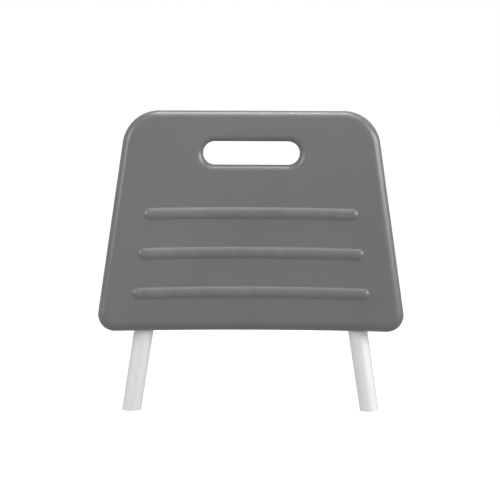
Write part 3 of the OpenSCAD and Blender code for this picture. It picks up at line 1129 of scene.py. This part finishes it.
def leaf_path(f, front_y, rear_y, button_up):
    """The leaf spring's middle line as (up, rear) points.

    It runs up the front leg, round the fold, and down to the flat that the button sits on.
    """
    foot, shoulder = button_up - f.leaf_tail, button_up + f.leaf_tail
    arc = quarter((button_up + f.leaf_reach, front_y + f.leaf_bend), f.leaf_bend, -90, 70, 16)
    return np.array([(foot, front_y), *arc, (shoulder, rear_y), (foot, rear_y)])


def rounded_path(points, radius):
    """Replaces a sharp corner of a path by a curve that starts and ends this far from it."""
    made = [points[0]]
    for before, here, after in zip(points, points[1:], points[2:]):
        a, b = before - here, after - here
        turn_here = np.degrees(np.arccos(np.clip(a @ b / np.linalg.norm(a) / np.linalg.norm(b), -1, 1)))
        if turn_here > 174:
            made.append(here)
            continue
        start, end = here + a / np.linalg.norm(a) * radius, here + b / np.linalg.norm(b) * radius
        for t in np.linspace(0, 1, 9):
            made.append((1 - t) ** 2 * start + 2 * t * (1 - t) * here + t**2 * end)
    return np.array(made + [points[-1]])


def leaf_spring(side, f, material):
    """A folded strip of spring steel inside the post, with rounded ends and a rivet hole."""
    node = f"{side}_button_spring"
    front, rear = depths(node)
    half_t = f.leaf_thickness / 2
    button_up = along_post(side, f"{side}_lock_button")
    corner_reach = 0.0035
    path = rounded_path(leaf_path(f, front + half_t, rear - half_t, button_up), corner_reach)
    lengths = np.concatenate([[0], np.cumsum(np.linalg.norm(np.diff(path, axis=0), axis=1))])
    total, half_w = lengths[-1], f.leaf_width / 2
    hole_at, hole = total - f.leaf_tail, 1.9 * MM

    def on_path(u):
        return np.array([np.interp(u, lengths, path[:, k]) for k in (0, 1)])

    def bent(u, v, offset):
        """Carries flat points along the strip onto its middle line, moved off it by offset."""
        step = 0.0002
        up, y = on_path(u)
        ahead = on_path(u + step) - on_path(u - step)
        size = np.hypot(*ahead)
        return np.stack([v, y + offset * ahead[0] / size, up - offset * ahead[1] / size], 1)

    corner = 2 * MM
    arcs = []
    for u, v, start in ((corner, corner - half_w, 180), (total - corner, corner - half_w, 270),
                        (total - corner, half_w - corner, 0), (corner, half_w - corner, 90)):
        arcs.append(quarter((u, v), corner, start, start + 90, 8))
    run = np.linspace(corner, total - corner, 120)[1:-1]
    border = arcs[0] + [(u, -half_w) for u in run] + arcs[1] + arcs[2]
    border += [(u, half_w) for u in run[::-1]] + arcs[3]
    moves = np.hypot(*np.diff(border, axis=0, prepend=[(-1, -1)]).T)
    border = np.array(border)[moves > 1e-6]
    rim = np.array(quarter((hole_at, 0), hole, 0, 360, 40)[:-1])
    lanes = np.linspace(-0.75, 0.75, 5) * half_w
    grid = np.array([(u, v) for u in np.linspace(MM, total - MM, 120) for v in lanes])
    grid = grid[np.hypot(grid[:, 0] - hole_at, grid[:, 1]) > hole + 0.5 * MM]

    def outside_hole(u, v):
        return np.hypot(u - hole_at, v) > hole

    flat, faces = triangulated(grid, [border, rim], outside_hole)
    shape = Shape()
    shape.add(bent(flat[:, 0], flat[:, 1], half_t), faces)
    shape.add(bent(flat[:, 0], flat[:, 1], -half_t), faces[:, ::-1])
    for loop in (border, rim):
        shape.rings([bent(loop[:, 0], loop[:, 1], half_t), bent(loop[:, 0], loop[:, 1], -half_t)])
    piece = placed_piece(f"{side}_leaf_spring", shape, post_frame(side), material)
    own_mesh(piece)
    return piece


# ---------------------------------------------------------------- operators

class BuildStep:
    """What every step of the build shares."""

    bl_options = {"REGISTER", "UNDO"}


class BACKREST_OT_stage(BuildStep, bpy.types.Operator):
    """Sets up the camera, the pale floor and the soft studio light"""

    bl_idname = "backrest.stage"
    bl_label = "Stage"

    def execute(self, context):
        s = settings().stage
        camera = bpy.data.objects.new("camera", bpy.data.cameras.new("camera"))
        camera.data.lens = s.lens
        camera.data.sensor_width = 36
        camera.location = (s.aside, -s.distance, s.height)
        level = Euler((math.pi / 2 - s.pitch, 0, 0)).to_matrix()
        lean = Matrix.Rotation(s.roll, 3, "Z")
        camera.rotation_euler = (level @ lean).to_euler()
        context.scene.collection.objects.link(camera)
        context.scene.camera = camera
        floor(s)
        studio_dome()
        soft_light("key", 50, 18, 1.6, 0.9, s.key)
        soft_light("side", 75, 15, 1.6, 0.7, 0.65 * s.key)
        soft_light("fill", -50, 18, 1.6, 0.9, s.fill)
        soft_light("top", 0, 78, 1.2, 0.6, 0.45 * s.top)
        soft_light("overhead", 0, 90, 1.2, 0.5, s.top)
        soft_light("top_right", 40, 60, 1.4, 0.5, 0.45 * s.top)
        soft_light("top_front", 0, 55, 1.5, 0.9, 0.4 * s.top)
        context.scene.view_settings.view_transform = "Standard"
        return {"FINISHED"}


def floor(s):
    """A wide, plain floor at the level of the posts' lower ends, which throws no light on them."""
    reach = 30
    corners_at = [(-reach, -reach, 0), (reach, -reach, 0), (reach, reach, 0), (-reach, reach, 0)]
    mesh = bpy.data.meshes.new("floor")
    mesh.from_pydata(corners_at, [], [(0, 1, 2, 3)])
    m = Recipe("pale_floor")
    soft = m.noise(m.place((0.8, 0.8, 0.8)), detail=1)
    m.feed("Base Color", m.blend(m.ramp(soft, 0.3, 0.7), shade(tuple(s.floor), 0.99), tuple(s.floor)))
    m.set(Roughness=0.8, Specular_IOR_Level=0.2)
    m.set(Emission_Color=WHITE, Emission_Strength=s.floor_glow)
    mesh.materials.append(m.material)
    obj = bpy.data.objects.new("floor", mesh)
    obj.visible_diffuse = False
    obj.visible_glossy = False
    bpy.context.scene.collection.objects.link(obj)


# Strength of the dome's light on each axis: from its negative side, then from its positive side.
DOME = (("X", 0.62, 0.45), ("Y", 0.47, 0.60), ("Z", 0.50, 0.15))


def studio_dome():
    """White all round as a backdrop, and for the object a dome with its own strength on each side."""
    world = bpy.data.worlds.new("studio")
    world.use_nodes = True
    g = Graph(world.node_tree)
    split = g.node("ShaderNodeSeparateXYZ")
    g.link(g.node("ShaderNodeTexCoord").outputs["Generated"], split.inputs["Vector"])
    strength = 0.0
    for axis, below, above in DOME:
        for sign, amount in ((-1, below), (1, above)):
            facing = g.maths("MAXIMUM", g.maths("MULTIPLY", split.outputs[axis], sign), 0.0)
            share = g.maths("MULTIPLY", g.maths("POWER", facing, 2.0), amount)
            strength = g.maths("ADD", share, strength)
    dome = world.node_tree.nodes["Background"]
    dome.inputs["Color"].default_value = WHITE
    g.link(strength, dome.inputs["Strength"])
    backdrop = g.node("ShaderNodeBackground")
    backdrop.inputs["Color"].default_value = WHITE
    mix = g.node("ShaderNodeMixShader")
    g.link(g.node("ShaderNodeLightPath").outputs["Is Camera Ray"], mix.inputs["Fac"])
    g.link(dome.outputs[0], mix.inputs[1])
    g.link(backdrop.outputs[0], mix.inputs[2])
    g.link(mix.outputs[0], world.node_tree.nodes["World Output"].inputs["Surface"])
    bpy.context.scene.world = world


def soft_light(name, azimuth, elevation, distance, size, power):
    """A round soft light that faces the object, placed in degrees to the right and up from its front."""
    light = bpy.data.lights.new(name, "AREA")
    light.shape = "DISK"
    light.size = size
    light.energy = power
    target = Vector((0, 0, 0.25))
    across, up = math.radians(azimuth), math.radians(elevation)
    away = Vector((math.cos(up) * math.sin(across), -math.cos(up) * math.cos(across), math.sin(up)))
    obj = bpy.data.objects.new(name, light)
    obj.location = target + distance * away
    obj.rotation_euler = (-away).to_track_quat("-Z", "Y").to_euler()
    obj.visible_camera = False
    bpy.context.scene.collection.objects.link(obj)


class BACKREST_OT_panel(BuildStep, bpy.types.Operator):
    """Moulds the curved panel with its slot, ribs, channels and tie recesses"""

    bl_idname = "backrest.panel"
    bl_label = "Back panel"

    def execute(self, context):
        s = settings().panel
        piece = back_panel(PanelForm(s), moulded_polyethylene(s))
        finish_piece(piece, "back_panel")
        return {"FINISHED"}


class BACKREST_OT_posts(BuildStep, bpy.types.Operator):
    """Rolls the two aluminium posts with their holes and sized lower ends"""

    bl_idname = "backrest.posts"
    bl_label = "Posts"

    def execute(self, context):
        s = settings().post
        metal = drawn_aluminium(s)
        for side in SIDES:
            finish_piece(post_tube(side, s, metal), f"{side}_post")
        return {"FINISHED"}


class BACKREST_OT_caps(BuildStep, bpy.types.Operator):
    """Plugs the upper ends of the posts"""

    bl_idname = "backrest.caps"
    bl_label = "Post caps"

    def execute(self, context):
        f, post = settings().fitting, settings().post
        plastic = plain_plastic("cap_polyethylene", tuple(f.cap_plastic), 0.42)
        for side in SIDES:
            piece = post_cap(side, f, post.radius, post.radius - post.wall, plastic)
            finish_piece(piece, f"{side}_post_cap")
        return {"FINISHED"}


class BACKREST_OT_saddles(BuildStep, bpy.types.Operator):
    """Seats a saddle washer under each bolt head"""

    bl_idname = "backrest.saddles"
    bl_label = "Saddle washers"

    def execute(self, context):
        f, post = settings().fitting, settings().post
        nylon = plain_plastic("saddle_nylon", tuple(f.saddle_plastic), 0.5)
        for side, level in BOLTS:
            piece = saddle_washer(side, level, f, post.radius, nylon)
            finish_piece(piece, f"{side}_{level}_saddle")
        return {"FINISHED"}


class BACKREST_OT_bolts(BuildStep, bpy.types.Operator):
    """Screws the four button-head bolts through the posts"""

    bl_idname = "backrest.bolts"
    bl_label = "Bolts"

    def execute(self, context):
        f = settings().fitting
        steel = turned_metal("bolt_stainless", tuple(f.steel), 0.26)
        for side, level in BOLTS:
            finish_piece(bolt(side, level, f, steel), f"{side}_{level}_bolt")
        return {"FINISHED"}


class BACKREST_OT_inserts(BuildStep, bpy.types.Operator):
    """Moulds the threaded inserts into the panel"""

    bl_idname = "backrest.inserts"
    bl_label = "Threaded inserts"

    def execute(self, context):
        f = settings().fitting
        brass = turned_metal("insert_brass", tuple(f.brass), 0.30)
        for side, level in BOLTS:
            piece = threaded_insert(side, level, f, brass)
            finish_piece(piece, f"{side}_{level}_insert")
        return {"FINISHED"}


class BACKREST_OT_buttons(BuildStep, bpy.types.Operator):
    """Fits the lock buttons, each on a body of its own"""

    bl_idname = "backrest.buttons"
    bl_label = "Lock buttons"

    def execute(self, context):
        f = settings().fitting
        steel = turned_metal("button_plating", tuple(f.steel), 0.20)
        for side in SIDES:
            finish_piece(lock_button(side, f, steel), f"{side}_lock_button")
        return {"FINISHED"}


class BACKREST_OT_springs(BuildStep, bpy.types.Operator):
    """Folds the leaf springs that push the buttons out"""

    bl_idname = "backrest.springs"
    bl_label = "Leaf springs"

    def execute(self, context):
        f = settings().fitting
        steel = turned_metal("leaf_spring_steel", tuple(f.spring_steel), 0.30, grain=(4000, 500, 500))
        for side in SIDES:
            finish_piece(leaf_spring(side, f, steel), f"{side}_button_spring")
        return {"FINISHED"}


STEPS = (
    BACKREST_OT_stage, BACKREST_OT_panel, BACKREST_OT_posts, BACKREST_OT_caps, BACKREST_OT_saddles,
    BACKREST_OT_bolts, BACKREST_OT_inserts, BACKREST_OT_buttons, BACKREST_OT_springs,
)


class BackrestSettings(bpy.types.PropertyGroup):
    """All sizes and colours of the backrest"""

    panel: PointerProperty(type=PanelSettings)
    post: PointerProperty(type=PostSettings)
    fitting: PointerProperty(type=FittingSettings)
    stage: PointerProperty(type=StageSettings)


class BACKREST_PT_sidebar(bpy.types.Panel):
    """Lists the steps of the build and their settings"""

    bl_idname = "BACKREST_PT_sidebar"
    bl_label = "Backrest"
    bl_space_type = "VIEW_3D"
    bl_region_type = "UI"
    bl_category = "Backrest"

    def draw(self, context):
        for step in STEPS:
            self.layout.operator(step.bl_idname)
        for group in ("panel", "post", "fitting", "stage"):
            box = self.layout.box()
            box.label(text=group.capitalize())
            values = getattr(context.scene.backrest, group)
            for name in values.__annotations__:
                box.prop(values, name)


CLASSES = (
    PanelSettings, PostSettings, FittingSettings, StageSettings, BackrestSettings,
    *STEPS, BACKREST_PT_sidebar,
)


def register():
    for cls in CLASSES:
        bpy.utils.register_class(cls)
    bpy.types.Scene.backrest = PointerProperty(type=BackrestSettings)


def unregister():
    del bpy.types.Scene.backrest
    for cls in reversed(CLASSES):
        bpy.utils.unregister_class(cls)


def main():
    register()
    for step in STEPS:
        group, name = step.bl_idname.split(".")
        getattr(getattr(bpy.ops, group), name)()


if __name__ == "__main__":
    main()
